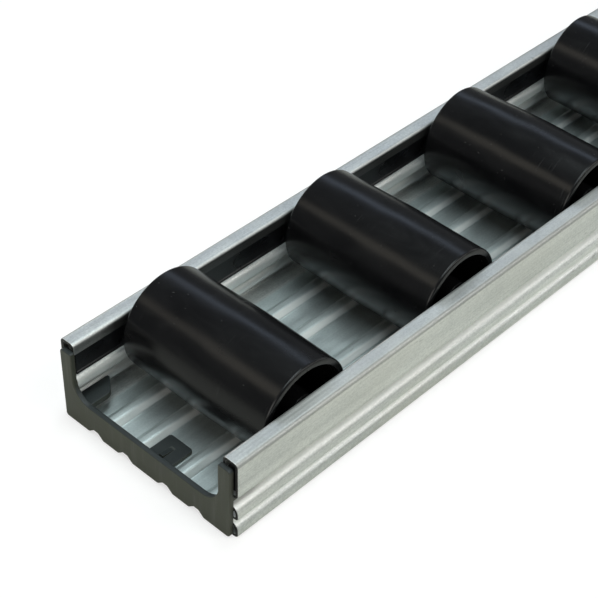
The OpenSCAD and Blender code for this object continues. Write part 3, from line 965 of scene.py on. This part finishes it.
def pale_floor():
    """A plain pale floor: the camera sees it lit up to white, more so far away, with its shadows."""
    s = Shader("pale_floor")
    grain = s.span(s.noise((300, 300, 300), 3), 0.3, 0.7)
    s.put("Base Color", s.mix(grain, (0.61, 0.60, 0.55), (0.65, 0.64, 0.59)))
    s.put("Roughness", 0.8)
    s.put("Specular IOR Level", 0.1)
    seen = s.node("ShaderNodeBsdfDiffuse")
    s.feed(seen.inputs["Color"], s.mix(grain, (0.42, 0.405, 0.40), (0.44, 0.425, 0.42)))
    away = s.node("ShaderNodeVectorMath", operation="LENGTH")
    s.link(s.coords, away.inputs[0])
    glow = s.node("ShaderNodeEmission")
    s.feed(glow.inputs["Color"], (1.0, 1.0, 1.0))
    s.feed(glow.inputs["Strength"], s.span(away.outputs["Value"], GLOW_FROM, GLOW_TO, FLOOR_GLOW, 1.0))
    lit_up = s.node("ShaderNodeAddShader")
    s.link(seen.outputs["BSDF"], lit_up.inputs[0])
    s.link(glow.outputs["Emission"], lit_up.inputs[1])
    choice = s.node("ShaderNodeMixShader")
    s.link(s.node("ShaderNodeLightPath").outputs["Is Camera Ray"], choice.inputs["Fac"])
    s.link(s.bsdf.outputs["BSDF"], choice.inputs[1])
    s.link(lit_up.outputs["Shader"], choice.inputs[2])
    s.link(choice.outputs["Shader"], s.out.inputs["Surface"])
    return s.material


def build_floor():
    """A wide flat floor just under the track."""
    bm = bmesh.new()
    bmesh.ops.create_grid(bm, x_segments=2, y_segments=2, size=FLOOR_HALF)
    mesh = bpy.data.meshes.new("floor")
    bm.to_mesh(mesh)
    bm.free()
    floor = bpy.data.objects.new("floor", mesh)
    scene.collection.objects.link(floor)
    floor.location.z = channel_low.z - FLOOR_DROP
    mesh.materials.append(pale_floor())


# ---------------------------------------------------------------- light and camera

# Each lamp hangs in a direction from this place near the front end, and faces it
LOOK_AT = Vector((0, -HALF_LEN + 90 * MM, 10 * MM))

# Name, direction, distance, width and height in metres, radiance, colour
LAMPS = (
    ("top", (0.03, -0.06, 0.99), 1.4, (0.42, 1.25), 7.1, (0.86, 0.98, 1.0)),
    ("key", (0.62, 0.14, 0.76), 1.4, (0.7, 0.7), 2.6, (0.98, 1.0, 0.95)),
    ("rim", (0.66, 0.56, 0.46), 1.5, (0.75, 0.5), 2.8, (1.0, 0.99, 0.95)),
    ("cool", (-0.53, 0.58, 0.62), 1.5, (1.3, 0.20), 1.90, (0.66, 0.79, 1.0)),
    ("fill", (0.20, -0.92, 0.34), 1.6, (1.4, 0.9), 2.2, (1.0, 0.99, 0.92)),
    ("warm", (-0.42, -0.60, 0.68), 1.5, (0.7, 0.36), 1.25, (1.0, 0.93, 0.79)),
    ("left", (-0.93, 0.15, 0.33), 1.6, (1.4, 0.7), 1.3, (1.0, 1.0, 0.98)),
    ("rear", (0.15, 0.93, 0.33), 1.8, (1.1, 0.7), 0.7, (1.0, 1.0, 0.98)),
)

AMBIENT_COLOR, AMBIENT_STRENGTH = (0.93, 0.97, 1.0), 0.15
WHITE_COLOR, WHITE_STRENGTH = (1.0, 1.0, 1.0), 1.0

# The photograph's viewpoint: degrees round from the front to the right, up from level, and tilted sideways
AZIMUTH = 42.1594
ELEVATION = 40.6541
TILT = 1.8960
CAMERA_FROM_CAP = Vector((205.74, -172.88, 287.14)) * MM
SENSOR_W = 36.0
FOCAL_LEN = 95.28


def build_world():
    """White for the camera, a faint ambient light for everything else."""
    world = bpy.data.worlds.new("studio")
    scene.world = world
    world.use_nodes = True
    tree = world.node_tree
    tree.nodes.clear()
    out = tree.nodes.new("ShaderNodeOutputWorld")
    choice = tree.nodes.new("ShaderNodeMixShader")
    ray = tree.nodes.new("ShaderNodeLightPath")
    tree.links.new(ray.outputs["Is Camera Ray"], choice.inputs["Fac"])
    backgrounds = ((AMBIENT_COLOR, AMBIENT_STRENGTH), (WHITE_COLOR, WHITE_STRENGTH))
    for socket, (color, strength) in zip(choice.inputs[1:], backgrounds):
        background = tree.nodes.new("ShaderNodeBackground")
        background.inputs["Color"].default_value = (*color, 1.0)
        background.inputs["Strength"].default_value = strength
        tree.links.new(background.outputs["Background"], socket)
    tree.links.new(choice.outputs["Shader"], out.inputs["Surface"])


def add_lamp(name, direction, distance, size, radiance, color):
    """A soft rectangular lamp, whose power follows from its size and its radiance."""
    data = bpy.data.lights.new(name, "AREA")
    data.shape = "RECTANGLE"
    data.size, data.size_y = size
    data.energy = radiance * math.pi * size[0] * size[1]
    data.color = color
    lamp = bpy.data.objects.new(name, data)
    scene.collection.objects.link(lamp)
    direction = unit(Vector(direction))
    lamp.location = LOOK_AT + direction * distance
    lamp.rotation_euler = direction.to_track_quat("Z", "Y").to_euler()


def build_camera():
    """A long lens at the photograph's viewpoint."""
    azimuth, elevation, tilt = (math.radians(angle) for angle in (AZIMUTH, ELEVATION, TILT))
    level = math.cos(elevation)
    backward = Vector((level * math.sin(azimuth), -level * math.cos(azimuth), math.sin(elevation)))
    facing = backward.to_track_quat("Z", "Y").to_matrix().to_4x4() @ Matrix.Rotation(tilt, 4, "Z")
    cap_foot = Vector((0, -HALF_LEN - CAP_T, 0))
    camera = bpy.data.objects.new("camera", bpy.data.cameras.new("camera"))
    scene.collection.objects.link(camera)
    camera.matrix_world = Matrix.Translation(cap_foot + CAMERA_FROM_CAP) @ facing
    camera.data.sensor_width = SENSOR_W
    camera.data.lens = FOCAL_LEN
    camera.data.clip_start = 10 * MM
    scene.camera = camera


build_floor()
build_world()
for lamp in LAMPS:
    add_lamp(*lamp)
build_camera()
scene.view_settings.view_transform = "Standard"
